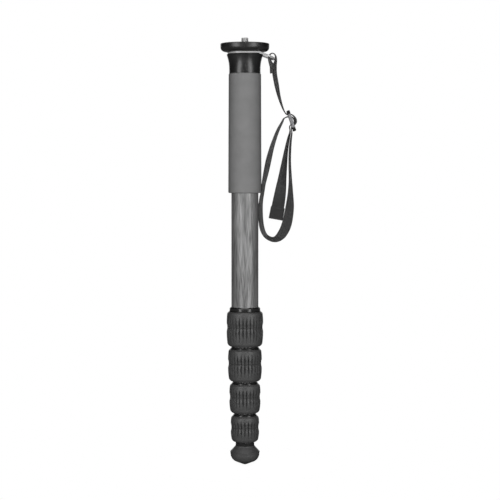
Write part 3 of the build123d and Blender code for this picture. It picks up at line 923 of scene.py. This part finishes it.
def lamps():
    """Two strips that lean apart upwards, a fill behind the camera, and a weak top lamp."""
    target = Vector((0, 0, LIT_MIDDLE))
    for side in (-1, 1):
        ends = []
        for azimuth, height in (STRIP_LOW, STRIP_HIGH):
            angle = math.radians(azimuth)
            across = side * STRIP_DISTANCE * math.sin(angle)
            ends.append(Vector((across, -STRIP_DISTANCE * math.cos(angle), height)))
        low, high = ends
        name = "strip_left" if side < 0 else "strip_right"
        size = (STRIP_WIDTH, (high - low).length)
        lamp_at(name, STRIP_POWER, size, (low + high) / 2, target, high - low)
    front = lamp_at("fill", FILL_POWER, (FILL_SIZE, FILL_SIZE), FILL_PLACE, target)
    behind = (FILL_PLACE[0], -FILL_PLACE[1], FILL_PLACE[2])
    back = lamp_at("back_fill", FILL_POWER * BACK_SHARE, (FILL_SIZE, FILL_SIZE), behind, target)
    front.visible_glossy = back.visible_glossy = False
    lamp_at("top", TOP_POWER, (TOP_SIZE, TOP_SIZE), TOP_PLACE, target, (0, 1, 0))


def seen_rays(tree):
    """1 for camera and transmission rays, and 1 for glossy rays."""
    rays = add_node(tree, "ShaderNodeLightPath").outputs
    seen = maths(tree, "MAXIMUM", rays["Is Camera Ray"], rays["Is Transmission Ray"])
    return seen, rays["Is Glossy Ray"]


def room():
    """A white backdrop to the eye, and in reflections a paper roll behind, in a dim room."""
    world = bpy.data.worlds.new("world")
    bpy.context.scene.world = world
    world.use_nodes = True
    tree = world.node_tree
    direction = add_node(tree, "ShaderNodeTexCoord").outputs["Generated"]
    depth = add_node(tree, "ShaderNodeSeparateXYZ", {"Vector": direction}).outputs["Y"]
    place = map_range(tree, depth, -1.0, 1.0)
    mirrored = ramp(
        tree, place, (0.0, 0.14), (0.12, 0.08), (0.3, 0.0), (0.92, 0.0), (0.965, BACKDROP_WHITE)
    )
    seen, glossy = seen_rays(tree)
    unseen = add_node(tree, "ShaderNodeMix", {0: glossy, 2: ROOM_GLOW, 3: mirrored}).outputs[0]
    strength = add_node(tree, "ShaderNodeMix", {0: seen, 2: unseen, 3: BACKDROP_WHITE}).outputs[0]
    background = tree.nodes["Background"]
    background.inputs["Color"].default_value = (1, 1, 1, 1)
    tree.links.new(strength, background.inputs["Strength"])


def floor():
    """A pale floor that keeps the object's shadow near it, and lets the eye and the light through
    farther off, so that sections drawn out below it stay in sight."""
    material = bpy.data.materials.new("floor")
    material.use_nodes = True
    tree = material.node_tree
    tree.nodes.clear()
    seen, glossy = seen_rays(tree)
    lit = maths(tree, "MULTIPLY_ADD", glossy, FLOOR_MIRRORED, seen)
    place = add_node(tree, "ShaderNodeTexCoord").outputs["Object"]
    away = add_node(tree, "ShaderNodeVectorMath", {0: place}, operation="LENGTH").outputs["Value"]
    white = maths(tree, "MULTIPLY", lit, map_range(tree, away, *SHADOW_FADE, *SHADOW_WHITE))
    shade = add_node(tree, "ShaderNodeMix", {0: seen, 2: FLOOR_BOUNCE, 3: FLOOR_PAINT}).outputs[0]
    paint = add_node(tree, "ShaderNodeBsdfDiffuse", {"Color": shade}).outputs[0]
    glow = add_node(tree, "ShaderNodeEmission", {"Color": (1, 1, 1, 1), "Strength": FLOOR_GLOW}).outputs[0]
    solid = add_node(tree, "ShaderNodeMixShader", {0: white, 1: paint, 2: glow}).outputs[0]
    looked_through = maths(tree, "MULTIPLY", seen, map_range(tree, away, *FLOOR_PATCH))
    shadow_ray = add_node(tree, "ShaderNodeLightPath").outputs["Is Shadow Ray"]
    through = maths(tree, "MAXIMUM", looked_through, shadow_ray)
    clear = add_node(tree, "ShaderNodeBsdfTransparent").outputs[0]
    mixed = add_node(tree, "ShaderNodeMixShader", {0: through, 1: solid, 2: clear}).outputs[0]
    add_node(tree, "ShaderNodeOutputMaterial", {"Surface": mixed})
    far = FLOOR_REACH
    corners = [(-far, -far, 0), (far, -far, 0), (far, far, 0), (-far, far, 0)]
    mesh_object("floor", corners, [(0, 1, 2, 3)], material, smooth=False)


camera()
lamps()
room()
floor()
bpy.context.scene.view_settings.view_transform = "Standard"
